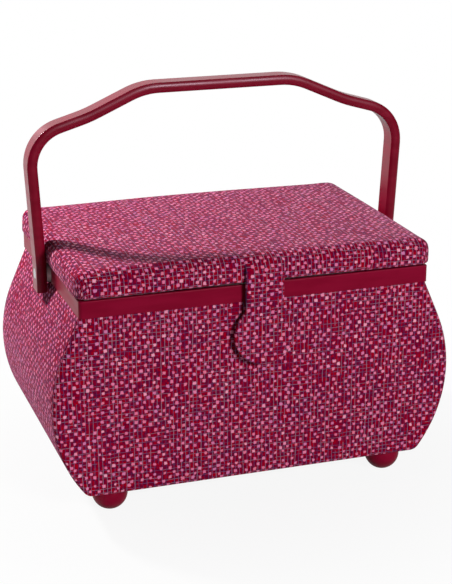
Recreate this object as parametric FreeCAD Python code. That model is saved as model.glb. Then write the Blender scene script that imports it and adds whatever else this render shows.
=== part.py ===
import FreeCAD, Part
import math
import os

V = FreeCAD.Vector

# Rim, the frame that everything is hung on
rim_width = 300.0
rim_depth = 211.4
rim_height = 14.3
rim_corner = 3.0
rim_wall = 2.5
rim_edge = 0.8
rim_step = 1.0
ledge_thickness = 2.5
ledge_reach = 10.5
skirt_depth = 5.0
skirt_thickness = 1.5
skirt_gap = 0.2

# Carcass with bulging sides
body_height = 155.0
belly_bulge = 24.3
belly_level = 75.0
shoulder_run = 35.0
base_tuck = 26.9
base_corner = 9.0
edge_round = 3.5
cloth = 0.8
side_board = 2.5
end_board = 3.0
base_board = 4.0
lining_cloth = 0.8

# Ball feet
foot_radius = 15.0
foot_height = 20.5
foot_flat = 4.5
foot_side_inset = 26.5
foot_end_inset = 22.2
foot_screw_radius = 2.0
foot_screw_head = 4.0
foot_screw_head_height = 2.2
foot_screw_bite = 11.0

# Padded lid
lid_gap = 1.8
lid_height = 22.4
lid_overhang = 2.9
lid_back_overhang = 0.5
lid_corner = 10.0
lid_crown = 2.0
lid_top_round = 8.5
lid_under_round = 2.5
lid_board_thickness = 3.0
lid_turn_in = 22.0
lid_pad_margin = 13.0
lid_pad_corner = 10.0
lid_pad_thickness = 5.0
lid_pad_round = 3.0

# Butt hinges at the back
hinge_inset = 55.0
hinge_length = 27.0
hinge_leaf = 1.1
hinge_barrel = 2.9
hinge_pin = 1.5
hinge_bore_gap = 0.05
hinge_above = 1.0
hinge_knuckle = 10.0
hinge_knuckle_gap = 0.3
hinge_fixing = 8.0
rivet_radius = 1.2
rivet_head = 2.4
rivet_head_height = 0.8
rivet_level = 7.0
leaf_drop = 12.5
leaf_reach = 9.0
lid_screw_radius = 1.2
lid_screw_head = 2.2
lid_screw_head_height = 0.9
lid_screw_inset = 6.0

# Bail handle
handle_thickness = 8.7
handle_flat = 15.9
handle_bulge = 1.5
handle_edge = 0.8
leg_gap = 8.0
leg_tail = 14.8
leg_bend_rise = 9.7
leg_bend_radius = 120.0
elbow_out = 5.6
elbow_drop = 35.4
elbow_radius = 33.4
shoulder_in = 44.8
shoulder_drop = 20.7
shoulder_radius = 120.0
grip_in = 91.7
grip_rise = 151.9
grip_radius = 60.0

# Handle pivots
pivot_rise = 7.2
pivot_radius = 2.5
pivot_gap = 0.05
pivot_head = 4.5
pivot_head_height = 2.0
pivot_head_gap = 0.3
boss_radius = 6.7
boss_depth = 4.5
washer_radius = 8.4
washer_gap = 0.3
nut_flats = 8.0
nut_thickness = 3.0

# Closing flap
flap_offset = 2.6
flap_gap = 3.3
flap_thickness = 3.6
flap_neck = 16.4
flap_bulb = 26.0
flap_drop = 46.6
flap_blend = 8.0
flap_axis_rise = 2.5
flap_root_gap = 0.5
flap_root_height = 10.0
flap_root_thickness = 3.2
magnet_radius = 7.0
keeper_radius = 8.0
keeper_thickness = 1.0

# Sliding tray
tray_depth = 104.0
tray_height = 38.0
tray_wall = 1.8
tray_floor = 2.0
tray_flange = 2.0
tray_rest_gap = 0.3
tray_side_gap = 0.7
tray_end_gap = 0.5
tray_boss_gap = 1.5
tray_corner = 6.0
tray_pocket_corner = 4.0
tray_row = 58.0

# Levels and planes that follow from them
base_z = foot_height
rim_z = base_z + body_height
rim_top = rim_z + rim_height
ledge_z = rim_z + ledge_thickness
lid_z = rim_top + lid_gap
lid_top = lid_z + lid_height
lid_board_top = lid_z + cloth + lid_board_thickness
lid_front = rim_depth / 2 + lid_overhang
lid_back = rim_depth / 2 + lid_back_overhang
pivot_z = rim_z + pivot_rise
far = rim_width + rim_depth + body_height
foot_x = rim_width / 2 - foot_side_inset
foot_y = rim_depth / 2 - foot_end_inset
hinge_x = rim_width / 2 - hinge_inset
lid_screw_y = rim_depth / 2 - lid_screw_inset
body_y = rim_depth / 2 - rim_step
board_y = body_y - cloth
edge_y = body_y - edge_round
inside_y = board_y - end_board
lining_y = inside_y - lining_cloth
opening_x = rim_width / 2 - rim_wall - ledge_reach
opening_y = rim_depth / 2 - rim_wall - ledge_reach
boss_x = rim_width / 2 - rim_wall - boss_depth
hinge_y = rim_depth / 2 + hinge_barrel
hinge_z = rim_top + hinge_above
flap_y = -(rim_depth / 2 + flap_gap + flap_thickness / 2)
flap_z = lid_z + flap_axis_rise
bulb_z = flap_z - flap_drop

# Belly of the sides: a straight shoulder, an arc down to the widest level and an arc in to the base
belly_z = base_z + belly_level
belly_top = rim_width / 2 - rim_step
belly_half = belly_top + belly_bulge
shoulder_height = rim_z - belly_z
upper_radius = (shoulder_height ** 2 + belly_bulge ** 2 - shoulder_run ** 2) / (2 * belly_bulge)
lower_radius = (belly_level ** 2 + base_tuck ** 2) / (2 * base_tuck)
upper_x = belly_half - upper_radius
lower_x = belly_half - lower_radius
tilt = math.atan2(shoulder_height, upper_radius - belly_bulge) - math.atan2(shoulder_run, upper_radius)
corner_x = lower_x + math.sqrt((lower_radius - base_corner) ** 2 - (belly_level - base_corner) ** 2)
corner_z = base_z + base_corner

# Bail from the middle of the grip to the end of a leg: place and radius of each bend
leg_x = rim_width / 2 + leg_gap
leg_end = pivot_z - leg_tail
grip_z = pivot_z + grip_rise
bends = ((leg_x - grip_in, grip_z, grip_radius),
         (leg_x - shoulder_in, grip_z - shoulder_drop, shoulder_radius),
         (leg_x + elbow_out, grip_z - elbow_drop, elbow_radius),
         (leg_x, pivot_z + leg_bend_rise, leg_bend_radius))


def box(x0, x1, y0, y1, z0, z1):
    return Part.makeBox(x1 - x0, y1 - y0, z1 - z0, V(x0, y0, z0))


def rod(radius, start, direction, length):
    return Part.makeCylinder(radius, length, V(*start), V(*direction))


def rounded_plate(half_x, half_y, radius, z0, z1):
    plate = box(-half_x, half_x, -half_y, half_y, z0, z1)
    uprights = [edge for edge in plate.Edges if abs(edge.tangentAt(edge.FirstParameter).z) > 0.9]
    return plate.makeFillet(radius, uprights)


def mirrored(shape):
    return shape.mirror(V(0, 0, 0), V(1, 0, 0))


def polar(x, z, radius, angle):
    return V(x + radius * math.cos(angle), 0, z + radius * math.sin(angle))


def belly(inset, y0, y1):
    lean = math.atan2(corner_z - belly_z, corner_x - lower_x)
    low = V(corner_x, 0, base_z + inset)
    low_mid = polar(corner_x, corner_z, base_corner - inset, (lean - math.pi / 2) / 2)
    join = polar(lower_x, belly_z, lower_radius - inset, lean)
    join_mid = polar(lower_x, belly_z, lower_radius - inset, lean / 2)
    wide = V(belly_half - inset, 0, belly_z)
    shoulder_mid = polar(upper_x, belly_z, upper_radius - inset, tilt / 2)
    shoulder = polar(upper_x, belly_z, upper_radius - inset, tilt)
    top = V(belly_top - inset / math.cos(tilt), 0, rim_z)
    right = [Part.Arc(low, low_mid, join).toShape(), Part.Arc(join, join_mid, wide).toShape(),
             Part.Arc(wide, shoulder_mid, shoulder).toShape(), Part.makeLine(shoulder, top)]
    left = [mirrored(edge) for edge in right]
    across = [Part.makeLine(V(-low.x, 0, low.z), low), Part.makeLine(V(-top.x, 0, top.z), top)]
    wire = Part.Wire(Part.__sortEdges__(right + left + across))
    solid = Part.Face(wire).extrude(V(0, y1 - y0, 0))
    solid.translate(V(0, y0, 0))
    return solid


def belly_skin(inset, thickness, half_y):
    return belly(inset, -half_y, half_y).cut(belly(inset + thickness, -half_y, half_y))


def carcass(inset):
    half_y = body_y - inset
    solid = belly(inset, -half_y, half_y)
    rounded = [edge for edge in solid.Edges
               if edge.BoundBox.YLength < 0.01 and edge.BoundBox.ZMin < rim_z - 0.01]
    return solid.makeFillet(edge_round - inset, rounded)


def between(shape, x0, x1, y0, y1):
    return shape.common(box(x0, x1, y0, y1, -far, far))


def layer(z0, z1):
    return box(-far, far, -far, far, z0, z1)


def make_base_board():
    board = box(-corner_x, corner_x, -board_y, board_y, base_z + cloth, base_z + cloth + base_board)
    return board.common(carcass(cloth))


def make_end_board(front):
    y0 = -board_y if front else inside_y
    board = belly(cloth + side_board, y0, y0 + end_board)
    return board.common(carcass(cloth)).cut(make_base_board())


def make_lining():
    floor_z = base_z + cloth + base_board
    outer = belly(cloth + side_board, -inside_y, inside_y)
    outer = outer.cut(make_base_board())
    inner = belly(cloth + side_board + lining_cloth, -lining_y, lining_y)
    return outer.cut(inner.cut(layer(-far, floor_z + lining_cloth)))


def make_foot(side, end):
    flat_drop = math.sqrt(foot_radius ** 2 - foot_flat ** 2)
    ball = Part.makeSphere(foot_radius, V(side * foot_x, end * foot_y, flat_drop))
    return ball.common(layer(0, foot_height))


def make_foot_screws():
    screws = []
    top = base_z + cloth + base_board
    for side in (-1, 1):
        for end in (-1, 1):
            x = side * foot_x
            y = end * foot_y
            tip = base_z - foot_screw_bite
            shank = rod(foot_screw_radius, (x, y, tip), (0, 0, 1), top - tip)
            head = Part.makeCone(foot_screw_radius, foot_screw_head, foot_screw_head_height,
                                 V(x, y, top - foot_screw_head_height))
            screws.append(shank.fuse(head).removeSplitter())
    return Part.makeCompound(screws)


def hexagon(flats, x0, x1, y, z):
    corners = [V(x0, y + flats / math.sqrt(3) * math.cos(step * math.pi / 3),
                 z + flats / math.sqrt(3) * math.sin(step * math.pi / 3)) for step in range(7)]
    return Part.Face(Part.makePolygon(corners)).extrude(V(x1 - x0, 0, 0))


def make_rim():
    half_x = rim_width / 2
    half_y = rim_depth / 2
    band = rounded_plate(half_x, half_y, rim_corner, rim_z, rim_top)
    band = band.makeFillet(rim_edge, [edge for edge in band.Edges if edge.BoundBox.ZMin > rim_top - 0.01])
    well = rounded_plate(half_x - rim_wall, half_y - rim_wall, rim_edge, ledge_z, rim_top + 1)
    mouth = rounded_plate(opening_x, opening_y, rim_corner, rim_z - 1, rim_top)
    skirt_x = belly_top - (cloth + side_board + lining_cloth) / math.cos(tilt) - skirt_gap
    skirt_y = lining_y - skirt_gap
    skirt = rounded_plate(skirt_x, skirt_y, rim_corner, rim_z - skirt_depth, rim_z)
    skirt = skirt.cut(box(-skirt_x + skirt_thickness, skirt_x - skirt_thickness, -skirt_y + skirt_thickness,
                          skirt_y - skirt_thickness, rim_z - skirt_depth - 1, rim_z + 1))
    rim = band.cut(well).cut(mouth).fuse(skirt)
    boss = rod(boss_radius, (boss_x, 0, pivot_z), (1, 0, 0), boss_depth + rim_wall / 2)
    rim = rim.fuse(boss).fuse(mirrored(boss))
    bore = rod(pivot_radius, (boss_x - 1, 0, pivot_z), (1, 0, 0), boss_depth + rim_wall + 2)
    pocket = hexagon(nut_flats, boss_x - 1, boss_x + nut_thickness, 0, pivot_z)
    for hole in (bore, pocket, mirrored(bore), mirrored(pocket)):
        rim = rim.cut(hole)
    return rim.cut(make_hinge_rivets()).removeSplitter()


def make_washer():
    length = leg_x - handle_thickness / 2 - washer_gap - rim_width / 2
    washer = rod(washer_radius, (rim_width / 2, 0, pivot_z), (1, 0, 0), length)
    return washer.cut(rod(pivot_radius, (rim_width / 2 - 1, 0, pivot_z), (1, 0, 0), length + 2))


def make_pivot_screw():
    face = leg_x + handle_thickness / 2
    shank = rod(pivot_radius, (boss_x, 0, pivot_z), (1, 0, 0), face - boss_x)
    head = Part.makeCone(pivot_radius, pivot_head, pivot_head_height, V(face - pivot_head_height, 0, pivot_z),
                         V(1, 0, 0))
    return shank.fuse(head).removeSplitter()


def make_pivot_nut():
    nut = hexagon(nut_flats, boss_x, boss_x + nut_thickness, 0, pivot_z)
    return nut.cut(rod(pivot_radius, (boss_x - 1, 0, pivot_z), (1, 0, 0), nut_thickness + 2))


def handle_section():
    top = grip_z + handle_thickness / 2
    low = top - handle_thickness
    reach = handle_flat / 2 + handle_bulge
    bulge_radius = (handle_thickness ** 2 / 4 + handle_bulge ** 2) / (2 * handle_bulge)
    edge_z = handle_thickness / 2 - handle_edge
    edge_y = math.sqrt((bulge_radius - handle_edge) ** 2 - edge_z ** 2)
    turn = math.atan2(edge_z, edge_y)
    corner_y = reach - bulge_radius + edge_y
    top_line = Part.makeLine(V(0, -corner_y, top), V(0, corner_y, top))
    low_line = Part.makeLine(V(0, -corner_y, low), V(0, corner_y, low))
    edges = [top_line, low_line]
    for side in (-1, 1):
        ends = []
        for rise in (-1, 1):
            middle = V(0, side * corner_y, grip_z + rise * edge_z)
            start = middle + V(0, 0, rise * handle_edge)
            half_way = (turn + math.pi / 2) / 2
            via = middle + V(0, side * math.cos(half_way), rise * math.sin(half_way)) * handle_edge
            end = middle + V(0, side * math.cos(turn), rise * math.sin(turn)) * handle_edge
            edges.append(Part.Arc(start, via, end).toShape())
            ends.append(end)
        edges.append(Part.Arc(ends[0], V(0, side * reach, grip_z), ends[1]).toShape())
    return Part.Face(Part.Wire(Part.__sortEdges__(edges)))


def half_bail():
    section = handle_section()
    place = V(0, 0, grip_z)
    corners = [V(x, 0, z) for x, z, radius in bends] + [V(leg_x, 0, leg_end)]
    pieces = []
    for index, (x, z, radius) in enumerate(bends):
        before = (corners[index] - place).normalize()
        after = (corners[index + 1] - corners[index]).normalize()
        turn = math.atan2(after.z, after.x) - math.atan2(before.z, before.x)
        start = corners[index] - before * radius * math.tan(abs(turn) / 2)
        pieces.append(section.extrude(start - place))
        section.translate(start - place)
        side = math.copysign(radius, turn)
        centre = start + V(-before.z, 0, before.x) * side
        pieces.append(section.revolve(centre, V(0, -1, 0), math.degrees(turn)))
        section.rotate(centre, V(0, -1, 0), math.degrees(turn))
        place = corners[index] + after * radius * math.tan(abs(turn) / 2)
    pieces.append(section.extrude(corners[-1] - place))
    return pieces[0].multiFuse(pieces[1:])


def make_handle():
    half = half_bail()
    handle = half.fuse(mirrored(half)).removeSplitter()
    face = leg_x + handle_thickness / 2
    inner = leg_x - handle_thickness
    bore = rod(pivot_radius + pivot_gap, (inner, 0, pivot_z), (1, 0, 0), 2 * handle_thickness)
    sink_depth = pivot_head_height + pivot_head_gap
    sink_radius = pivot_radius + (pivot_head - pivot_radius) * sink_depth / pivot_head_height
    sink = Part.makeCone(pivot_radius, sink_radius, sink_depth, V(face - sink_depth, 0, pivot_z), V(1, 0, 0))
    for hole in (bore, sink, mirrored(bore), mirrored(sink)):
        handle = handle.cut(hole)
    return handle


def pillow(inset):
    half_x = rim_width / 2 + lid_overhang - inset
    half_y = (lid_front + lid_back) / 2 - inset
    reach = math.hypot(rim_width / 2, rim_depth / 2)
    dome_radius = (reach ** 2 + lid_crown ** 2) / (2 * lid_crown)
    slab = rounded_plate(half_x, half_y, lid_corner - inset, lid_z + inset, lid_top + lid_crown)
    slab.translate(V(0, (lid_back - lid_front) / 2, 0))
    dome = Part.makeSphere(dome_radius - inset, V(0, 0, lid_top - dome_radius))
    slab = slab.common(dome)
    low = [edge for edge in slab.Edges if edge.BoundBox.ZMax < lid_z + inset + 0.01]
    slab = slab.makeFillet(lid_under_round - inset, low)
    high = [edge for edge in slab.Edges if edge.BoundBox.ZMin > lid_z + lid_height / 2]
    return slab.makeFillet(lid_top_round - inset, high)


def make_lid_board():
    return pillow(cloth).common(layer(-far, lid_board_top)).cut(make_lid_screws())


def make_lid_padding():
    return pillow(cloth).cut(layer(-far, lid_board_top))


def make_lid_cover():
    window_x = rim_width / 2 + lid_overhang - lid_turn_in
    cover = pillow(0).cut(pillow(cloth))
    cover = cover.cut(box(-window_x, window_x, lid_turn_in - lid_front, lid_back - lid_turn_in, lid_z - 1,
                          lid_z + cloth))
    return cover.cut(make_lid_screws())


def make_lid_lining():
    half_x = rim_width / 2 + lid_overhang - lid_pad_margin
    half_y = lid_front - lid_pad_margin
    pad = rounded_plate(half_x, half_y, lid_pad_corner, lid_z - lid_pad_thickness, lid_z)
    return pad.makeFillet(lid_pad_round, [edge for edge in pad.Edges
                                          if edge.BoundBox.ZMax < lid_z - lid_pad_thickness + 0.01])


def hinge_tube(x0, x1, bore):
    tube = rod(hinge_barrel, (x0, hinge_y, hinge_z), (1, 0, 0), x1 - x0)
    return tube.cut(rod(bore, (x0 - 1, hinge_y, hinge_z), (1, 0, 0), x1 - x0 + 2))


def make_rim_leaf(side):
    x = side * hinge_x
    half = hinge_length / 2
    knuckle = hinge_knuckle / 2 + hinge_knuckle_gap
    back = rim_depth / 2
    leaf = box(x - half, x + half, back, back + hinge_leaf, rim_top - leaf_drop, hinge_z)
    leaf = leaf.cut(box(x - knuckle, x + knuckle, 0, far, hinge_z - hinge_barrel - hinge_knuckle_gap, far))
    leaf = leaf.fuse(hinge_tube(x - half, x - knuckle, hinge_pin))
    leaf = leaf.fuse(hinge_tube(x + knuckle, x + half, hinge_pin))
    return leaf.cut(make_hinge_rivets()).removeSplitter()


def make_lid_leaf(side):
    x = side * hinge_x
    half = hinge_length / 2
    knuckle = hinge_knuckle / 2
    near = hinge_y - hinge_barrel - hinge_knuckle_gap
    plate = box(x - half, x + half, near - leaf_reach, near, lid_z - hinge_leaf, lid_z)
    tongue = box(x - knuckle, x + knuckle, near, hinge_y, lid_z - hinge_leaf, lid_z)
    bore = hinge_pin + hinge_bore_gap
    tongue = tongue.cut(rod(bore, (x - half, hinge_y, hinge_z), (1, 0, 0), hinge_length))
    leaf = plate.fuse(tongue).fuse(hinge_tube(x - knuckle, x + knuckle, bore))
    return leaf.cut(make_lid_screws()).removeSplitter()


def make_hinge_pins():
    start = hinge_x - hinge_length / 2
    pin = rod(hinge_pin, (start, hinge_y, hinge_z), (1, 0, 0), hinge_length)
    return Part.makeCompound([pin, mirrored(pin)])


def make_hinge_rivets():
    rivets = []
    inner = rim_depth / 2 - rim_wall
    outer = rim_depth / 2 + hinge_leaf
    z = rim_z + rivet_level
    for side in (-1, 1):
        for offset in (-hinge_fixing, hinge_fixing):
            x = side * hinge_x + offset
            shank = rod(rivet_radius, (x, inner, z), (0, 1, 0), outer - inner)
            tail = rod(rivet_head, (x, inner - rivet_head_height, z), (0, 1, 0), rivet_head_height)
            head = rod(rivet_head, (x, outer, z), (0, 1, 0), rivet_head_height)
            rivets.append(shank.fuse(tail).fuse(head))
    return Part.makeCompound(rivets)


def make_lid_screws():
    screws = []
    low = lid_z - hinge_leaf
    for side in (-1, 1):
        for offset in (-hinge_fixing, hinge_fixing):
            x = side * hinge_x + offset
            shank = rod(lid_screw_radius, (x, lid_screw_y, low), (0, 0, 1), lid_board_top - low)
            head = rod(lid_screw_head, (x, lid_screw_y, low - lid_screw_head_height), (0, 0, 1),
                       lid_screw_head_height)
            screws.append(shank.fuse(head))
    return Part.makeCompound(screws)


def make_flap_root():
    patch = pillow(-flap_root_thickness).cut(pillow(0))
    low = flap_z + flap_thickness / 2 + flap_root_gap
    return patch.common(box(flap_offset - flap_neck, flap_offset + flap_neck, -far, 0, low,
                            low + flap_root_height))


def flap_plate(inset):
    neck = flap_neck - inset
    bulb = flap_bulb - inset
    blend = flap_blend + inset
    rise = math.sqrt((bulb + blend) ** 2 - (neck + blend) ** 2)
    touch = V((neck + blend) * bulb / (bulb + blend), 0, bulb_z + rise * bulb / (bulb + blend))
    start = V(neck, 0, bulb_z + rise)
    toward = math.atan2(touch.z - start.z, touch.x - (neck + blend))
    mid = polar(neck + blend, bulb_z + rise, blend, (toward - math.pi) / 2)
    right = [Part.makeLine(V(neck, 0, flap_z), start), Part.Arc(start, mid, touch).toShape()]
    left = [mirrored(edge) for edge in right]
    low = Part.Arc(touch, V(0, 0, bulb_z - bulb), V(-touch.x, 0, touch.z)).toShape()
    top = Part.makeLine(V(-neck, 0, flap_z), V(neck, 0, flap_z))
    thickness = flap_thickness - 2 * inset
    plate = Part.Face(Part.Wire(Part.__sortEdges__(right + left + [low, top]))).extrude(V(0, thickness, 0))
    plate.translate(V(flap_offset, flap_y - thickness / 2, 0))
    return plate


def make_flap_board():
    return flap_plate(cloth).cut(make_flap_magnet())


def make_flap_cover():
    roll = rod(flap_thickness / 2, (flap_offset - flap_neck, flap_y, flap_z), (1, 0, 0), 2 * flap_neck)
    return flap_plate(0).fuse(roll).cut(flap_plate(cloth)).removeSplitter()


def make_flap_magnet():
    half = flap_thickness / 2 - cloth
    return rod(magnet_radius, (flap_offset, flap_y - half, bulb_z), (0, 1, 0), 2 * half)


def make_keeper():
    return rod(keeper_radius, (flap_offset, -board_y, bulb_z), (0, 1, 0), keeper_thickness)


def make_tray():
    half_x = opening_x - tray_side_gap
    flange_x = boss_x - tray_boss_gap
    back = opening_y - tray_end_gap
    half_y = tray_depth / 2
    low = ledge_z + tray_rest_gap
    top = low + tray_flange
    tray = rounded_plate(half_x, half_y, tray_corner, top - tray_height, top)
    tray = tray.fuse(rounded_plate(flange_x, half_y, tray_corner, low, top))
    floor_z = top - tray_height + tray_floor
    across = 2 * half_x - 2 * tray_wall
    split = half_y - tray_wall - tray_row
    for y0, y1, count in ((split, half_y - tray_wall, 3), (-half_y + tray_wall, split - tray_wall, 2)):
        width = (across - (count - 1) * tray_wall) / count
        for index in range(count):
            middle = -across / 2 + width / 2 + index * (width + tray_wall)
            pocket = rounded_plate(width / 2, (y1 - y0) / 2, tray_pocket_corner, floor_z, top + 1)
            pocket.translate(V(middle, (y0 + y1) / 2, 0))
            tray = tray.cut(pocket)
    tray.translate(V(0, back - half_y, 0))
    return tray.removeSplitter()


os.makedirs("parts", exist_ok=True)


def save(name, shape):
    shape.exportStep("parts/" + name + ".step")


foot_screws = make_foot_screws()
cover = carcass(0).cut(carcass(cloth))
side_skin = belly_skin(cloth, side_board, board_y).common(carcass(cloth))
right_cover = between(cover, corner_x, far, -edge_y, edge_y)
right_board = between(side_skin, corner_x, far, -far, far)
save("right_cover", right_cover)
save("left_cover", mirrored(right_cover))
save("right_side_board", right_board)
save("left_side_board", mirrored(right_board))
save("front_cover", between(cover, -far, far, -far, -edge_y))
save("back_cover", between(cover, -far, far, edge_y, far))
save("base_cover", between(cover, -corner_x, corner_x, -edge_y, edge_y).cut(foot_screws))
save("bottom_board", make_base_board().cut(foot_screws))
save("front_board", make_end_board(True).cut(make_keeper()))
save("back_board", make_end_board(False))
save("keeper_plate", make_keeper())
save("lining", make_lining())
save("rim", make_rim())
for side, side_name in ((-1, "left"), (1, "right")):
    for end, end_name in ((-1, "front"), (1, "back")):
        save("foot_" + end_name + "_" + side_name, make_foot(side, end).cut(foot_screws))
    save(side_name + "_hinge_rim_leaf", make_rim_leaf(side))
    save(side_name + "_hinge_lid_leaf", make_lid_leaf(side))
save("foot_screws", foot_screws)
save("right_washer", make_washer())
save("left_washer", mirrored(make_washer()))
save("pivot_screws", Part.makeCompound([make_pivot_screw(), mirrored(make_pivot_screw())]))
save("pivot_nuts", Part.makeCompound([make_pivot_nut(), mirrored(make_pivot_nut())]))
save("hinge_pins", make_hinge_pins())
save("hinge_rivets", make_hinge_rivets())
save("handle", make_handle())
save("lid_board", make_lid_board())
save("lid_padding", make_lid_padding())
save("lid_cover", make_lid_cover())
save("lid_lining", make_lid_lining())
save("lid_screws", make_lid_screws())
save("flap_root", make_flap_root())
save("flap_board", make_flap_board())
save("flap_cover", make_flap_cover())
save("flap_magnet", make_flap_magnet())
save("tray", make_tray())
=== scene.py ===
import bpy
import math
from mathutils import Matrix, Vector
from mathutils.geometry import delaunay_2d_cdt


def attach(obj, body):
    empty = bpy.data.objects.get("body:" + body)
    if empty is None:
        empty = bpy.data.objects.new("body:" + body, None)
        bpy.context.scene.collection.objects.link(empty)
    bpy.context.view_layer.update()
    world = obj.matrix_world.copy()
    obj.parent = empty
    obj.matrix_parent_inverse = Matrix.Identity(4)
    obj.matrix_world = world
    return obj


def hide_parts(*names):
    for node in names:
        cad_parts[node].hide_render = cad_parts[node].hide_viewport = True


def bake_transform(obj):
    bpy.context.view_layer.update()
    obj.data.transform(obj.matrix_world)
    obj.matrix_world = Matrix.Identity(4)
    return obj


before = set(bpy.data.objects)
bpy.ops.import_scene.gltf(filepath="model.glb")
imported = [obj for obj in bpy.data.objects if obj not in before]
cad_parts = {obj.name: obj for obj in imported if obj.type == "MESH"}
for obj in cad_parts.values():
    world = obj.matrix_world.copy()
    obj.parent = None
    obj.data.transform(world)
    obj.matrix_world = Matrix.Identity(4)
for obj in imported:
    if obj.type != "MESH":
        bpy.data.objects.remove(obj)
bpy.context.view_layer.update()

# Boards of the carcass, lid and flap.
# Grey-brown bookbinding board, cut to shape and glued edge to edge; the cloth hides all of it.


def linear(red, green, blue):
    shares = [value / 255 for value in (red, green, blue)]
    return [s / 12.92 if s <= 0.04045 else ((s + 0.055) / 1.055) ** 2.4 for s in shares] + [1.0]


def feed(tree, socket, value):
    if isinstance(value, bpy.types.NodeSocket):
        tree.links.new(value, socket)
    elif value is not None:
        socket.default_value = value


def calc(tree, operation, *values):
    made = tree.nodes.new("ShaderNodeMath")
    made.operation = operation
    for socket, value in zip(made.inputs, values):
        feed(tree, socket, value)
    return made.outputs[0]


def tint(tree, share, first, second):
    made = tree.nodes.new("ShaderNodeMix")
    made.data_type = "RGBA"
    feed(tree, made.inputs[0], share)
    feed(tree, made.inputs[6], first)
    feed(tree, made.inputs[7], second)
    return made.outputs[2]


def ease(tree, value, start, end, low=0.0, high=1.0):
    made = tree.nodes.new("ShaderNodeMapRange")
    made.interpolation_type = "SMOOTHSTEP"
    for socket, number in zip(made.inputs, (value, start, end, low, high)):
        feed(tree, socket, number)
    return made.outputs[0]


def noise(tree, place, scale, detail=2.0):
    made = tree.nodes.new("ShaderNodeTexNoise")
    feed(tree, made.inputs["Vector"], place)
    made.inputs["Scale"].default_value = scale
    made.inputs["Detail"].default_value = detail
    return made.outputs


def finish_of(name, roughness, specular=0.5):
    made = bpy.data.materials.new(name)
    made.use_nodes = True
    skin = made.node_tree.nodes["Principled BSDF"]
    skin.inputs["Roughness"].default_value = roughness
    skin.inputs["Specular IOR Level"].default_value = specular
    return made, made.node_tree, skin


def relief(tree, skin, height, depth, strength=1.0):
    bump = tree.nodes.new("ShaderNodeBump")
    bump.inputs["Strength"].default_value = strength
    bump.inputs["Distance"].default_value = depth
    feed(tree, bump.inputs["Height"], height)
    feed(tree, skin.inputs["Normal"], bump.outputs[0])


def node_place(tree):
    return tree.nodes.new("ShaderNodeTexCoord").outputs["Object"]


def dress(material, *names):
    for name in names:
        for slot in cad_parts[name].material_slots:
            slot.material = material


card, card_tree, card_skin = finish_of("greyboard", 0.92, 0.2)
card_place = node_place(card_tree)
card_fibre = noise(card_tree, card_place, 420.0, 4.0)[0]
card_patch = noise(card_tree, card_place, 45.0, 2.0)[0]
card_shade = calc(card_tree, "MULTIPLY", card_fibre, card_patch)
card_share = ease(card_tree, card_shade, 0.12, 0.42)
feed(card_tree, card_skin.inputs["Base Color"],
     tint(card_tree, card_share, linear(142, 124, 100), linear(186, 168, 142)))
relief(card_tree, card_skin, card_fibre, 0.0002, 0.6)
dress(card, "bottom_board", "front_board", "back_board", "left_side_board", "right_side_board",
      "lid_board", "flap_board")

# Printed cloth glued over the carcass.
# Woven cotton with a small broken check, in a front and a back panel turned round the rounded edges,
# and one strip that goes down the left side, under the base and up the right side.
weave = bpy.data.node_groups.new("plain weave", "ShaderNodeTree")
weave.interface.new_socket(name="Place", in_out="INPUT", socket_type="NodeSocketVector")
weave.interface.new_socket(name="Pitch", in_out="INPUT", socket_type="NodeSocketFloat")
weave.interface.new_socket(name="Height", in_out="OUTPUT", socket_type="NodeSocketFloat")
weave_in = weave.nodes.new("NodeGroupInput")
weave_out = weave.nodes.new("NodeGroupOutput")
weave_split = weave.nodes.new("ShaderNodeSeparateXYZ")
feed(weave, weave_split.inputs[0], weave_in.outputs["Place"])
weave_turn = calc(weave, "DIVIDE", math.pi, weave_in.outputs["Pitch"])
weave_warp = calc(weave, "SINE", calc(weave, "MULTIPLY", weave_split.outputs[0], weave_turn))
weave_weft = calc(weave, "SINE", calc(weave, "MULTIPLY", weave_split.outputs[1], weave_turn))
weave_cross = calc(weave, "ABSOLUTE", calc(weave, "MULTIPLY", weave_warp, weave_weft))
weave_slub = noise(weave, weave_in.outputs["Place"], 0.9, 2.0)[0]
feed(weave, weave_out.inputs["Height"], calc(weave, "ADD", weave_cross, weave_slub))


def along(tree, operation, *values):
    made = tree.nodes.new("ShaderNodeVectorMath")
    made.operation = operation
    for socket, value in zip(made.inputs, values):
        feed(tree, socket, value)
    return made.outputs[0]


def woven(tree, place, pitch):
    made = tree.nodes.new("ShaderNodeGroup")
    made.node_tree = weave
    feed(tree, made.inputs["Place"], place)
    made.inputs["Pitch"].default_value = pitch
    return made.outputs["Height"]


def drawn(tree, first, second, third=0.0):
    merge = tree.nodes.new("ShaderNodeCombineXYZ")
    for socket, value in zip(merge.inputs, (first, second, third)):
        feed(tree, socket, value)
    chance = tree.nodes.new("ShaderNodeTexWhiteNoise")
    chance.noise_dimensions = "3D"
    feed(tree, chance.inputs["Vector"], merge.outputs[0])
    split = tree.nodes.new("ShaderNodeSeparateColor")
    feed(tree, split.inputs[0], chance.outputs["Color"])
    return split.outputs


def ramp(tree, value, colours):
    made = tree.nodes.new("ShaderNodeValToRGB")
    stops = made.color_ramp.elements
    while len(stops) < len(colours):
        stops.new(0.5)
    for index, colour in enumerate(colours):
        stops[index].position = index / (len(colours) - 1)
        stops[index].color = linear(*colour)
    feed(tree, made.inputs[0], value)
    return made.outputs[0]


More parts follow.
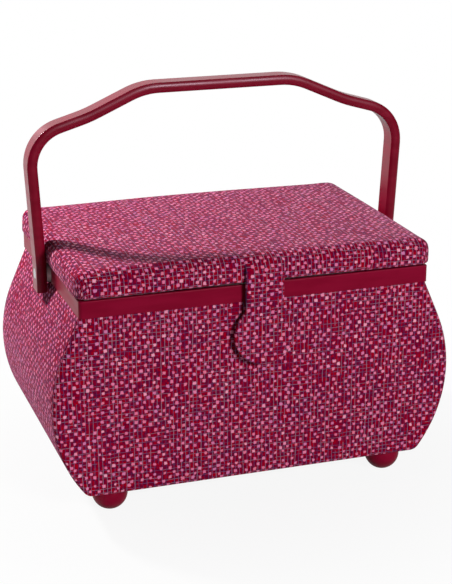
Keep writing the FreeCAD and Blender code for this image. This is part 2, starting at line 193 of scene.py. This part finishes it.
def printed_lines(tree, across, down, pitch, width, dash, kept):
    dash_step = 0.37
    line = calc(tree, "ROUND", calc(tree, "DIVIDE", across, pitch))
    off = calc(tree, "ABSOLUTE", calc(tree, "SUBTRACT", across, calc(tree, "MULTIPLY", line, pitch)))
    start = calc(tree, "MULTIPLY", line, dash_step)
    part = calc(tree, "FLOOR", calc(tree, "ADD", calc(tree, "DIVIDE", down, dash), start))
    chance = drawn(tree, line, part, pitch)
    shown = calc(tree, "LESS_THAN", chance[0], kept)
    mask = calc(tree, "MULTIPLY", ease(tree, off, width * 0.75, width * 0.25), shown)
    return mask, chance[1]


printed, printed_tree, printed_skin = finish_of("printed cotton", 0.85, 0.0)
to_millimetres = (1000.0, 1000.0, 0.0)
cotton_thread = 0.42
print_sway = 2.0
dot_pitch = 7.8
dot_row = 4.0
dot_small = 1.0
dot_large = 1.4
dot_worn = 0.22
dot_soft = 0.25
dot_astray_u = 1.0
dot_astray_v = 0.7
dot_squareness = 5.0
dots_kept = 0.94
dot_colours = ((228, 112, 158), (240, 136, 174), (216, 124, 178),
               (238, 124, 152), (234, 120, 166), (250, 170, 198))
ground_colours = ((98, 4, 50), (122, 2, 46), (146, 0, 40), (172, 0, 24))
line_pitch = 3.35
line_colours = ((66, 34, 86), (104, 86, 138), (136, 120, 152), (164, 142, 168))
warp_width = 0.44
warp_dash = 26.0
warp_kept = 0.95
warp_ink = 0.85
weft_width = 0.38
weft_dash = 12.0
weft_kept = 0.75
weft_ink = 0.75
printed_map = printed_tree.nodes.new("ShaderNodeUVMap")
printed_map.uv_map = "cloth"
printed_mm = along(printed_tree, "MULTIPLY", printed_map.outputs[0], to_millimetres)
printed_sway = along(printed_tree, "SUBTRACT", noise(printed_tree, printed_mm, 0.06, 1.0)[1], (0.5, 0.5, 0.5))
printed_sway = along(printed_tree, "MULTIPLY", printed_sway, (print_sway, print_sway, 0.0))
printed_spot = printed_tree.nodes.new("ShaderNodeSeparateXYZ")
feed(printed_tree, printed_spot.inputs[0], along(printed_tree, "ADD", printed_mm, printed_sway))
spot_u = printed_spot.outputs[0]
spot_v = printed_spot.outputs[1]
row = calc(printed_tree, "FLOOR", calc(printed_tree, "DIVIDE", spot_v, dot_row))
shift = calc(printed_tree, "MULTIPLY", calc(printed_tree, "FLOORED_MODULO", row, 2.0), dot_pitch / 2)
shifted = calc(printed_tree, "ADD", spot_u, shift)
column = calc(printed_tree, "FLOOR", calc(printed_tree, "DIVIDE", shifted, dot_pitch))
chance_a = drawn(printed_tree, column, row, 1.0)
chance_b = drawn(printed_tree, column, row, 2.0)
middle_u = calc(printed_tree, "MULTIPLY", calc(printed_tree, "ADD", column, 0.5), dot_pitch)
middle_v = calc(printed_tree, "MULTIPLY", calc(printed_tree, "ADD", row, 0.5), dot_row)
off_u = calc(printed_tree, "SUBTRACT", shifted, middle_u)
off_v = calc(printed_tree, "SUBTRACT", spot_v, middle_v)
astray_u = ease(printed_tree, chance_a[1], 0.0, 1.0, -dot_astray_u, dot_astray_u)
astray_v = ease(printed_tree, chance_a[2], 0.0, 1.0, -dot_astray_v, dot_astray_v)
off_u = calc(printed_tree, "ADD", off_u, astray_u)
off_v = calc(printed_tree, "ADD", off_v, astray_v)
dot_wear = ease(printed_tree, noise(printed_tree, printed_mm, 0.7, 1.0)[0], 0.3, 0.7, -dot_worn, dot_worn)
power_u = calc(printed_tree, "POWER", calc(printed_tree, "ABSOLUTE", off_u), dot_squareness)
power_v = calc(printed_tree, "POWER", calc(printed_tree, "ABSOLUTE", off_v), dot_squareness)
reach = calc(printed_tree, "POWER", calc(printed_tree, "ADD", power_u, power_v), 1 / dot_squareness)
dot_half = ease(printed_tree, chance_b[0], 0.0, 1.0, dot_small, dot_large)
dot_half = calc(printed_tree, "ADD", dot_half, dot_wear)
dot_mask = ease(printed_tree, calc(printed_tree, "SUBTRACT", reach, dot_half), dot_soft, -dot_soft)
dot_shown = calc(printed_tree, "LESS_THAN", chance_a[0], dots_kept)
dot_mask = calc(printed_tree, "MULTIPLY", dot_mask, dot_shown)
dot_colour = ramp(printed_tree, chance_b[1], dot_colours)
ground_u = calc(printed_tree, "FLOOR", calc(printed_tree, "DIVIDE", spot_u, line_pitch / 2))
ground_v = calc(printed_tree, "FLOOR", calc(printed_tree, "DIVIDE", spot_v, line_pitch / 2))
ground = ramp(printed_tree, drawn(printed_tree, ground_u, ground_v, 3.0)[0], ground_colours)
warp_mask, warp_kind = printed_lines(printed_tree, spot_u, spot_v, line_pitch,
                                     warp_width, warp_dash, warp_kept)
weft_mask, weft_kind = printed_lines(printed_tree, spot_v, spot_u, line_pitch,
                                     weft_width, weft_dash, weft_kept)
cloth_colour = tint(printed_tree, calc(printed_tree, "MULTIPLY", weft_mask, weft_ink), ground,
                    ramp(printed_tree, weft_kind, line_colours))
cloth_colour = tint(printed_tree, calc(printed_tree, "MULTIPLY", warp_mask, warp_ink), cloth_colour,
                    ramp(printed_tree, warp_kind, line_colours))
cloth_colour = tint(printed_tree, dot_mask, cloth_colour, dot_colour)
feed(printed_tree, printed_skin.inputs["Base Color"], cloth_colour)
printed_skin.inputs["Sheen Weight"].default_value = 0.22
printed_skin.inputs["Sheen Roughness"].default_value = 0.35
printed_skin.inputs["Sheen Tint"].default_value = linear(255, 200, 235)
relief(printed_tree, printed_skin, woven(printed_tree, printed_mm, cotton_thread), 0.0002, 0.5)


def cloth_piece(name, points, uvs, faces, material):
    mesh = bpy.data.meshes.new(name)
    mesh.from_pydata(points, [], faces)
    layer = mesh.uv_layers.new(name="cloth")
    for corner, loop in enumerate(mesh.loops):
        layer.data[corner].uv = uvs[loop.vertex_index]
    mesh.shade_smooth()
    mesh.materials.append(material)
    piece = bpy.data.objects.new(name, mesh)
    bpy.context.scene.collection.objects.link(piece)
    return piece


def thicken(piece, thickness):
    made = piece.modifiers.new("cloth thickness", "SOLIDIFY")
    made.thickness = thickness
    made.offset = -1.0


def grid_faces(rows, columns, first=0):
    faces = []
    for r in range(rows - 1):
        for c in range(columns - 1):
            low = first + r * columns + c
            faces.append((low, low + 1, low + columns + 1, low + columns))
    return faces


def ring_faces(before, after, closed):
    count = len(before)
    faces = []
    for a in range(count if closed else count - 1):
        b = (a + 1) % count
        faces.append((before[a], after[a], after[b], before[b]))
    return faces


cloth_thickness = 0.0007
body_y = 0.1047
base_z = 0.0205
rim_z = 0.1755
belly_z = 0.0955
belly_top = 0.149
belly_bulge = 0.0243
base_tuck = 0.0269
shoulder_run = 0.035
base_corner = 0.009
edge_round = 0.0035
shoulder_height = rim_z - belly_z
belly_level = belly_z - base_z
belly_half = belly_top + belly_bulge
upper_radius = (shoulder_height ** 2 + belly_bulge ** 2 - shoulder_run ** 2) / (2 * belly_bulge)
lower_radius = (belly_level ** 2 + base_tuck ** 2) / (2 * base_tuck)
upper_x = belly_half - upper_radius
lower_x = belly_half - lower_radius
tilt = math.atan2(shoulder_height, upper_radius - belly_bulge) - math.atan2(shoulder_run, upper_radius)
corner_x = lower_x + math.sqrt((lower_radius - base_corner) ** 2 - (belly_level - base_corner) ** 2)
corner_z = base_z + base_corner


def belly_line(inset):
    lean = math.atan2(corner_z - belly_z, corner_x - lower_x)
    arcs = ((corner_x, corner_z, base_corner, -math.pi / 2, lean, 6),
            (lower_x, belly_z, lower_radius, lean, 0.0, 16),
            (upper_x, belly_z, upper_radius, 0.0, tilt, 12))
    spots = []
    for x, z, radius, start, end, steps in arcs:
        for step in range(steps):
            angle = start + (end - start) * step / steps
            level = (math.cos(angle), math.sin(angle))
            spots.append((x + (radius - inset) * level[0], z + (radius - inset) * level[1]) + level)
    shoulder_x = upper_x + (upper_radius - inset) * math.cos(tilt)
    shoulder_z = belly_z + (upper_radius - inset) * math.sin(tilt)
    top_x = belly_top - inset / math.cos(tilt)
    shoulder_steps = 8
    for step in range(shoulder_steps + 1):
        share = step / shoulder_steps
        spots.append((shoulder_x + (top_x - shoulder_x) * share, shoulder_z + (rim_z - shoulder_z) * share,
                      math.cos(tilt), math.sin(tilt)))
    return spots


def end_panel(name, side):
    columns = 70
    inner = belly_line(edge_round)
    points = []
    uvs = []
    for x, z, _, _ in inner:
        for c in range(columns):
            place = -x + 2 * x * c / (columns - 1)
            points.append((place, side * body_y, z))
            uvs.append((place, z))
    rows = len(inner)
    faces = grid_faces(rows, columns)
    border = [r * columns for r in range(rows - 1, -1, -1)] + list(range(1, columns - 1))
    border += [r * columns + columns - 1 for r in range(rows)]
    before = border
    turns = 7
    hem = 0.0012
    hem_slope = 20
    for turn in range(1, turns + 2):
        angle = math.pi / 2 * min(turn, turns) / turns
        tuck = hem if turn > turns else 0.0
        outer = belly_line(edge_round * (1 - math.sin(angle)) + tuck / hem_slope)
        depth = body_y - edge_round * (1 - math.cos(angle)) - tuck
        arc = edge_round * angle + tuck
        after = []
        for index in border:
            r, c = divmod(index, columns)
            across = -1 + 2 * c / (columns - 1)
            x, z, nx, nz = outer[r]
            sideways = nx * (1 if across > 0 else -1) if c in (0, columns - 1) else 0.0
            after.append(len(points))
            points.append((x * across, side * depth, z))
            uvs.append((uvs[index][0] + sideways * arc, uvs[index][1] + nz * arc))
        faces += ring_faces(before, after, False)
        before = after
    if side > 0:
        faces = [face[::-1] for face in faces]
        uvs = [(-u, v) for u, v in uvs]
    piece = cloth_piece(name, points, uvs, faces, printed)
    thicken(piece, cloth_thickness)
    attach(piece, "carcass")
    return piece


front_cloth = end_panel("front_cloth", -1)
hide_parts("front_cover")
back_cloth = end_panel("back_cloth", 1)
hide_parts("back_cover")


def wrap_line(inset, floor=-1.0):
    right = [(x, max(z, floor)) for x, z, _, _ in belly_line(inset)]
    left = [(-x, z) for x, z in reversed(right)]
    low = right[0]
    steps = 44
    base = [(-low[0] + 2 * low[0] * step / steps, low[1]) for step in range(1, steps)]
    return left + base + right


def strip(line, half_depth, columns):
    points = []
    uvs = []
    run = 0.0
    for index, (x, z) in enumerate(line):
        if index:
            run += math.dist(line[index - 1], line[index])
        for c in range(columns):
            y = -half_depth + 2 * half_depth * c / (columns - 1)
            points.append((x, y, z))
            uvs.append((y, run))
    return points, uvs, grid_faces(len(line), columns)


wrap_columns = 44
wrap_shape = strip(wrap_line(0.0), body_y - edge_round, wrap_columns)
wrap_cloth = cloth_piece("side_and_base_cloth", *wrap_shape, printed)
thicken(wrap_cloth, cloth_thickness)
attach(wrap_cloth, "carcass")
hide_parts("left_cover", "right_cover", "base_cover")

# Satin lining of the inside.
# Plain red satin glued to the boards, in one strip for sides and floor and a panel at each end.
satin, satin_tree, satin_skin = finish_of("red satin", 0.42, 0.45)
satin_pitch = 0.3
satin_map = satin_tree.nodes.new("ShaderNodeUVMap")
satin_map.uv_map = "cloth"
satin_mm = along(satin_tree, "MULTIPLY", satin_map.outputs[0], to_millimetres)
satin_warp = along(satin_tree, "MULTIPLY", satin_mm, (1.0, 0.08, 0.0))
satin_thread = noise(satin_tree, satin_warp, 2.2, 3.0)[0]
feed(satin_tree, satin_skin.inputs["Base Color"],
     tint(satin_tree, satin_thread, linear(150, 22, 46), linear(190, 44, 70)))
feed(satin_tree, satin_skin.inputs["Roughness"], ease(satin_tree, satin_thread, 0.2, 0.8, 0.36, 0.5))
relief(satin_tree, satin_skin, woven(satin_tree, satin_mm, satin_pitch), 0.0001, 0.35)
satin_skin.inputs["Sheen Weight"].default_value = 0.3

lining_inset = 0.0041
lining_y = 0.1001
lining_floor = 0.0261
lining_thickness = 0.0006


def inside_of_carcass():
    columns = 40
    line = wrap_line(lining_inset, lining_floor)
    points, uvs, faces = strip(line, lining_y, columns)
    faces = [face[::-1] for face in faces]
    rows = [(x, max(z, lining_floor)) for x, z, _, _ in belly_line(lining_inset)]
    for side in (-1, 1):
        first = len(points)
        for x, z in rows:
            for c in range(columns):
                place = -x + 2 * x * c / (columns - 1)
                points.append((place, side * lining_y, z))
                uvs.append((place, z))
        panel = grid_faces(len(rows), columns, first)
        faces += [face[::-1] for face in panel] if side < 0 else panel
    return points, uvs, faces


lining = cloth_piece("satin_lining", *inside_of_carcass(), satin)
thicken(lining, lining_thickness)
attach(lining, "carcass")
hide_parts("lining")

# Crimson mouldings: the rim, the bail handle and the ball feet.
# Injection-moulded plastic with a satin face; the rim is pressed over the boards and the feet are screwed on.
mould = bpy.data.node_groups.new("moulded face", "ShaderNodeTree")
mould.interface.new_socket(name="Place", in_out="INPUT", socket_type="NodeSocketVector")
mould.interface.new_socket(name="Shade", in_out="OUTPUT", socket_type="NodeSocketFloat")
mould.interface.new_socket(name="Grain", in_out="OUTPUT", socket_type="NodeSocketFloat")
mould_in = mould.nodes.new("NodeGroupInput")
mould_out = mould.nodes.new("NodeGroupOutput")
mould_flow = along(mould, "MULTIPLY", mould_in.outputs["Place"], (1.0, 1.0, 6.0))
feed(mould, mould_out.inputs["Shade"], noise(mould, mould_flow, 26.0, 3.0)[0])
feed(mould, mould_out.inputs["Grain"], noise(mould, mould_in.outputs["Place"], 1400.0, 2.0)[0])


def moulded(name, dark, light, smooth, rough, specular):
    made, tree, skin = finish_of(name, rough, specular)
    face = tree.nodes.new("ShaderNodeGroup")
    face.node_tree = mould
    feed(tree, face.inputs["Place"], node_place(tree))
    share = ease(tree, face.outputs["Shade"], 0.3, 0.7)
    feed(tree, skin.inputs["Base Color"], tint(tree, share, linear(*dark), linear(*light)))
    feed(tree, skin.inputs["Roughness"], ease(tree, face.outputs["Shade"], 0.25, 0.75, smooth, rough))
    relief(tree, skin, face.outputs["Grain"], 0.00006, 0.5)
    skin.inputs["Specular Tint"].default_value = linear(255, 226, 244)
    return made


crimson = moulded("crimson moulding", (126, 4, 38), (136, 6, 44), 0.32, 0.42, 0.1)
deep_crimson = moulded("deep crimson moulding", (122, 0, 30), (132, 2, 36), 0.3, 0.38, 0.36)
dress(crimson, "rim", "foot_front_left", "foot_front_right", "foot_back_left", "foot_back_right")
dress(deep_crimson, "handle")

# Washers, screws, nuts, hinges, pins, rivets and the keeper plate.
# Pale nylon washers space the handle from the rim; the rest is plated steel, turned or stamped.
nylon = moulded("pale nylon", (196, 192, 188), (212, 208, 204), 0.45, 0.55, 0.4)
dress(nylon, "left_washer", "right_washer")
plated, plated_tree, plated_skin = finish_of("plated steel", 0.3)
plated_place = node_place(plated_tree)
plated_flow = along(plated_tree, "MULTIPLY", plated_place, (1.0, 14.0, 14.0))
plated_brush = noise(plated_tree, plated_flow, 160.0, 3.0)[0]
feed(plated_tree, plated_skin.inputs["Base Color"],
     tint(plated_tree, plated_brush, linear(168, 168, 170), linear(206, 206, 206)))
feed(plated_tree, plated_skin.inputs["Roughness"], ease(plated_tree, plated_brush, 0.3, 0.7, 0.24, 0.38))
plated_skin.inputs["Metallic"].default_value = 1.0
relief(plated_tree, plated_skin, plated_brush, 0.00003, 0.4)
dress(plated, "foot_screws", "pivot_screws", "pivot_nuts", "left_hinge_rim_leaf", "right_hinge_rim_leaf",
      "left_hinge_lid_leaf", "right_hinge_lid_leaf", "hinge_pins", "hinge_rivets", "lid_screws",
      "keeper_plate", "flap_magnet")

# Padded lid.
# Printed cloth pulled over wadding on a board, turned in underneath and glued,
# so that its edges and corners are soft.
lid_half_x = 0.1529
lid_front = 0.1086
lid_back = 0.1062
lid_z = 0.1916
lid_top = 0.214
lid_corner = 0.01
lid_top_round = 0.0085
lid_under_round = 0.003
lid_turn_in = 0.022
lid_dome = 8.42
lid_edge_drop = 0.0008
lid_swell = 0.0006
lid_held = 0.003
flap_offset = 0.0026
flap_held = 0.022
flap_held_y = 0.1


def rounded_rows(half_x, half_y, corner, columns, rows, turns):
    ends = []
    for turn in range(turns):
        angle = math.pi / 2 * turn / turns
        ends.append((half_x - corner + corner * math.sin(angle), -half_y + corner * (1 - math.cos(angle)),
                     math.sin(angle), -math.cos(angle)))
    for r in range(rows + 1):
        ends.append((half_x, -half_y + corner + 2 * (half_y - corner) * r / rows, 1.0, 0.0))
    ends += [(x, -y, nx, -ny) for x, y, nx, ny in reversed(ends[:turns])]
    spots = []
    for x, y, nx, ny in ends:
        for c in range(columns):
            across = -1 + 2 * c / (columns - 1)
            spots.append((x * across, y, math.copysign(nx, across) if c in (0, columns - 1) else 0.0, ny))
    count = len(ends)
    border = list(range(columns)) + [r * columns + columns - 1 for r in range(1, count)]
    border += [(count - 1) * columns + c for c in range(columns - 2, -1, -1)]
    border += [r * columns for r in range(count - 2, 0, -1)]
    return spots, border, count


def pad_mesh(spots, border, count, columns, profile, level):
    points = []
    uvs = []
    for x, y, _, _ in spots:
        points.append((x, y, level(x, y)))
        uvs.append((x, y))
    faces = grid_faces(count, columns)
    before = border
    for out, drop, run in profile:
        after = []
        for index in border:
            x, y, nx, ny = spots[index]
            after.append(len(points))
            points.append((x + nx * out, y + ny * out, points[index][2] + drop))
            uvs.append((x + nx * run, y + ny * run))
        faces += ring_faces(before, after, True)
        before = after
    return points, uvs, faces


def swell(piece, held, most):
    stiff = 30.0
    last_moment = 20
    rest = [point.co.copy() for point in piece.data.vertices]
    group = piece.vertex_groups.new(name="held")
    group.add(held, 1.0, "REPLACE")
    cloth = piece.modifiers.new("swell", "CLOTH")
    cloth.settings.quality = 6
    cloth.settings.mass = 0.25
    cloth.settings.tension_stiffness = stiff
    cloth.settings.compression_stiffness = stiff
    cloth.settings.shear_stiffness = stiff / 2
    cloth.settings.bending_stiffness = 0.8
    cloth.settings.vertex_group_mass = "held"
    cloth.settings.use_pressure = True
    cloth.settings.uniform_pressure_force = 4.0
    cloth.settings.effector_weights.gravity = 0.0
    cloth.collision_settings.use_collision = False
    for moment in range(1, last_moment + 1):
        bpy.context.scene.frame_set(moment)
    shaped = piece.evaluated_get(bpy.context.evaluated_depsgraph_get()).to_mesh()
    moved = [point.co.copy() for point in shaped.vertices]
    piece.modifiers.remove(cloth)
    piece.vertex_groups.remove(group)
    for point, start, end in zip(piece.data.vertices, rest, moved):
        shift = end - start
        if shift.length > most:
            shift *= most / shift.length
        point.co = start + shift
    bpy.context.scene.frame_set(1)


def soften(piece):
    made = piece.modifiers.new("soft", "SUBSURF")
    made.levels = 1
    made.render_levels = 1


def lid_cloth_piece():
    columns = 53
    rows = 34
    corner_turns = 3
    top_turns = 4
    under_turns = 3
    hem_steps = 3
    inset = lid_top_round
    half_y = (lid_front + lid_back) / 2
    spots, border, count = rounded_rows(lid_half_x - inset, half_y - inset, lid_corner - inset,
                                        columns, rows, corner_turns)
    spots = [(x, y + half_y - lid_front, nx, ny) for x, y, nx, ny in spots]
    profile = []
    for turn in range(1, top_turns + 1):
        angle = math.pi / 2 * turn / top_turns
        profile.append((inset * math.sin(angle), -inset * (1 - math.cos(angle)), inset * angle))
    out = inset
    run = inset * math.pi / 2
    low = -(lid_top - lid_edge_drop - lid_z)
    side = -low - inset - lid_under_round
    profile.append((out, -inset - side / 2, run + side / 2))
    profile.append((out, -inset - side, run + side))
    run += side
    for turn in range(1, under_turns + 1):
        angle = math.pi / 2 * turn / under_turns
        profile.append((out - lid_under_round * (1 - math.cos(angle)),
                        -inset - side - lid_under_round * math.sin(angle), run + lid_under_round * angle))
    run += lid_under_round * math.pi / 2
    for step in range(1, hem_steps + 1):
        turned = (lid_turn_in - lid_under_round) * step / hem_steps
        profile.append((out - lid_under_round - turned, low, run + turned))
    points, uvs, faces = pad_mesh(spots, border, count, columns, profile,
                                  lambda x, y: lid_top - (x * x + y * y) / (2 * lid_dome))
    points = [(x, y, max(z, lid_z)) for x, y, z in points]
    piece = cloth_piece("lid_cloth", points, uvs, faces, printed)
    held = [index for index, (x, y, z) in enumerate(points)
            if z < lid_z + lid_held or (y < -flap_held_y and abs(x - flap_offset) < flap_held)]
    swell(piece, held, lid_swell)
    soften(piece)
    thicken(piece, cloth_thickness)
    return piece


lid_cloth = lid_cloth_piece()
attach(lid_cloth, "lid")
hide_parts("lid_cover", "lid_padding")

# Satin pad under the lid.
# Thin wadding in red satin, glued to the underside of the lid so that it hides the turned-in cloth.
pad_half_x = 0.1399
pad_half_y = 0.0956
pad_corner = 0.010
pad_depth = 0.005
pad_round = 0.003
pad_swell = 0.0016
pad_held = 0.002
pad_satin = 0.0005


def lid_pad_piece():
    columns = 45
    rows = 28
    turns = 3
    spots, border, count = rounded_rows(pad_half_x - pad_round, pad_half_y - pad_round,
                                        pad_corner - pad_round, columns, rows, turns)
    profile = []
    for turn in range(1, turns + 1):
        angle = math.pi / 2 * turn / turns
        profile.append((pad_round * math.sin(angle), -pad_round * (1 - math.cos(angle)), pad_round * angle))
    profile.append((pad_round, -pad_depth, pad_round * math.pi / 2 + pad_depth - pad_round))
    points, uvs, faces = pad_mesh(spots, border, count, columns, profile, lambda x, y: pad_depth)
    points = [(x, y, lid_z - z) for x, y, z in points]
    faces = [face[::-1] for face in faces]
    piece = cloth_piece("lid_satin_pad", points, uvs, faces, satin)
    held = [index for index, point in enumerate(points) if point[2] > lid_z - pad_held]
    swell(piece, held, pad_swell)
    soften(piece)
    thicken(piece, pad_satin)
    return piece


lid_pad = lid_pad_piece()
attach(lid_pad, "lid")
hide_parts("lid_lining")

# Closing flap.
# The lid's cloth runs on over the front edge into a tongue,
# folded round a thin board with a magnet in its round end.
flap_neck = 0.0164
flap_bulb = 0.026
flap_blend = 0.008
flap_bulb_z = 0.1475
flap_front_y = 0.1126
flap_bend = 0.014
flap_bend_y = flap_front_y - flap_bend
flap_bend_z = 0.199
flap_start_y = 0.0991
flap_thickness = 0.0036
flap_fold_thickness = 0.0022
flap_full_z = 0.195
flap_full_run = 0.005
flap_edge = 0.0011
flap_turned = flap_bend * math.pi / 2


def flap_run(z):
    return flap_turned + flap_bend_z - z


def flap_outline(inset):
    neck_steps = 22
    blend_steps = 9
    bulb_steps = 26
    neck = flap_neck - inset
    bulb = flap_bulb - inset
    blend = flap_blend + inset
    rise = math.sqrt((bulb + blend) ** 2 - (neck + blend) ** 2)
    toward = math.atan2(-rise, -(neck + blend))
    start = flap_run(flap_bulb_z + rise)
    right = [(neck, start * step / neck_steps) for step in range(neck_steps)]
    for step in range(blend_steps):
        angle = -math.pi + (toward + math.pi) * step / blend_steps
        right.append((neck + blend + blend * math.cos(angle),
                      flap_run(flap_bulb_z + rise + blend * math.sin(angle))))
    touch = toward + math.pi
    for step in range(bulb_steps + 1):
        angle = touch + (-math.pi / 2 - touch) * step / bulb_steps
        right.append((bulb * math.cos(angle), flap_run(flap_bulb_z + bulb * math.sin(angle))))
    left = [(-x, s) for x, s in reversed(right[:-1])]
    return right + left


def flap_point(x, run, depth):
    angle = math.pi / 2 * min(1.0, run / flap_turned)
    y = -flap_bend_y - flap_bend * math.sin(angle)
    z = flap_bend_z + flap_bend * math.cos(angle) - max(0.0, run - flap_turned)
    full = min(1.0, max(0.0, (flap_full_z - z) / flap_full_run))
    depth *= flap_fold_thickness + (flap_thickness - flap_fold_thickness) * full
    return (x + flap_offset, y + depth * math.sin(angle), z - depth * math.cos(angle))


def flap_piece():
    inner = flap_outline(flap_edge)
    grid = 0.003
    rows = 40
    half_columns = 10
    margin = flap_edge + 0.001
    filling = []
    for r in range(1, rows):
        for c in range(-half_columns, half_columns + 1):
            x = c * grid
            run = r * grid
            z = flap_bulb_z + flap_run(flap_bulb_z) - run
            in_neck = abs(x) < flap_neck - margin and z > flap_bulb_z
            in_bulb = math.hypot(x, z - flap_bulb_z) < flap_bulb - margin
            if in_neck or in_bulb:
                filling.append((x, run))
    count = len(inner)
    flat, _, triangles, _, _, _ = delaunay_2d_cdt([Vector(spot) for spot in inner + filling],
                                                  [(a, (a + 1) % count) for a in range(count)], [], 1, 1e-7)
    points = []
    uvs = []
    faces = []

    def lay(spots, depth):
        first = len(points)
        for x, run in spots:
            points.append(flap_point(x, run, depth))
            uvs.append((x + flap_offset, -flap_start_y - run))
        return list(range(first, len(points)))

    edge_turns = 8
    front = lay(flat, 0.0)
    faces += [tuple(face) for face in triangles]
    before = front[:count]
    for turn in range(1, edge_turns):
        angle = math.pi * turn / edge_turns
        ring = lay(flap_outline(flap_edge * (1 - math.sin(angle))), 0.5 - 0.5 * math.cos(angle))
        faces += ring_faces(before, ring, True)
        before = ring
    back = lay(flat, 1.0)
    faces += ring_faces(before, back[:count], True)
    faces += [tuple(back[index] for index in reversed(face)) for face in triangles]
    return cloth_piece("flap_cloth", points, uvs, faces, printed)


flap_cloth = flap_piece()
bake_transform(flap_cloth)
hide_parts("flap_cover", "flap_root")

# Sliding tray.
# One pale plastic moulding with five pockets, which hangs by its end flanges on the rim's ledges.
tray_face = moulded("pale tray moulding", (206, 200, 192), (218, 213, 206), 0.48, 0.6, 0.4)
dress(tray_face, "tray")

# Floor, light and camera.
# A white table that keeps a soft shadow, with a small softbox near by at the back left
# and a larger one in front on the right. Gloss sees white behind and a dark room in front; the table's colour
# is painted dark in front as painted shade of that room.
room_glow = 0.03


def seen_white(tree, front_fade):
    rays = tree.nodes.new("ShaderNodeLightPath").outputs
    mirrored = calc(tree, "MAXIMUM", rays["Is Glossy Ray"], rays["Is Transmission Ray"])
    return calc(tree, "MAXIMUM", rays["Is Camera Ray"], calc(tree, "MULTIPLY", mirrored, front_fade))


def depth_of(tree, coordinate):
    split = tree.nodes.new("ShaderNodeSeparateXYZ")
    feed(tree, split.inputs[0], tree.nodes.new("ShaderNodeTexCoord").outputs[coordinate])
    return split.outputs[1]


def table():
    mesh = bpy.data.meshes.new("table")
    reach_out = 30.0
    mesh.from_pydata([(-reach_out, -reach_out, 0.0), (reach_out, -reach_out, 0.0),
                      (reach_out, reach_out, 0.0), (-reach_out, reach_out, 0.0)], [], [(0, 1, 2, 3)])
    floor = bpy.data.objects.new("table", mesh)
    bpy.context.scene.collection.objects.link(floor)
    made = bpy.data.materials.new("white table")
    made.use_nodes = True
    tree = made.node_tree
    skin = tree.nodes["Principled BSDF"]
    painted_dark_until = -0.7
    painted_pale_from = -0.4
    glow_from = -0.25
    glow_to = 0.15
    shadow_near = 0.1
    shadow_far = 0.45
    shadow_share = 0.9
    # Painted shade: the table's base colour goes dark in front of the box to stand for the dark room in the
    # gloss, while the camera still sees the table white.
    painted_front_shade = ease(tree, depth_of(tree, "Object"), painted_dark_until, painted_pale_from)
    feed(tree, skin.inputs["Base Color"], tint(tree, painted_front_shade, linear(48, 48, 48), linear(203, 203, 203)))
    skin.inputs["Roughness"].default_value = 0.9
    skin.inputs["Specular IOR Level"].default_value = 0.0
    glow = tree.nodes.new("ShaderNodeEmission")
    far_off = along(tree, "LENGTH", node_place(tree))
    distance = far_off.node.outputs["Value"]
    front_fade = ease(tree, depth_of(tree, "Object"), glow_from, glow_to, room_glow, 1.0)
    clear = ease(tree, distance, shadow_near, shadow_far, shadow_share, 1.0)
    share = calc(tree, "MULTIPLY", seen_white(tree, front_fade), clear)
    merge = tree.nodes.new("ShaderNodeMixShader")
    feed(tree, merge.inputs[0], share)
    feed(tree, merge.inputs[1], skin.outputs[0])
    feed(tree, merge.inputs[2], glow.outputs[0])
    feed(tree, tree.nodes["Material Output"].inputs[0], merge.outputs[0])
    mesh.materials.append(made)


table()

world = bpy.data.worlds.new("studio")
bpy.context.scene.world = world
world.use_nodes = True
sky = world.node_tree.nodes["Background"]
sky.inputs["Color"].default_value = (1.0, 1.0, 1.0, 1.0)
sky_fade = ease(world.node_tree, depth_of(world.node_tree, "Generated"), -0.1, 0.5, room_glow, 1.0)
feed(world.node_tree, sky.inputs["Strength"],
     ease(world.node_tree, seen_white(world.node_tree, sky_fade), 0.0, 1.0, 0.05, 1.0))


def softbox(name, toward, distance, width, height, power):
    lamp = bpy.data.lights.new(name, "AREA")
    lamp.shape = "RECTANGLE"
    lamp.size = width
    lamp.size_y = height
    lamp.energy = power
    direction = Vector(toward).normalized()
    aim = Vector((0.0, 0.0, 0.16))
    holder = bpy.data.objects.new(name, lamp)
    holder.location = aim + direction * distance
    holder.rotation_euler = direction.to_track_quat("Z", "Y").to_euler()
    bpy.context.scene.collection.objects.link(holder)


softbox("back left softbox", (-0.551, 0.535, 0.64), 1.07, 0.11, 0.11, 15.5)
softbox("front right softbox", (0.27, -0.89, 0.36), 2.0, 0.5, 0.4, 27.0)

eye = bpy.data.cameras.new("camera")
eye.lens = 95.41
eye.sensor_width = 36.0
camera = bpy.data.objects.new("camera", eye)
camera.location = (-0.4093, -1.2216, 0.5795)
camera.rotation_euler = (math.radians(71.515), 0.0, math.radians(-18.829))
bpy.context.scene.collection.objects.link(camera)
bpy.context.scene.camera = camera
bpy.context.scene.view_settings.view_transform = "Standard"
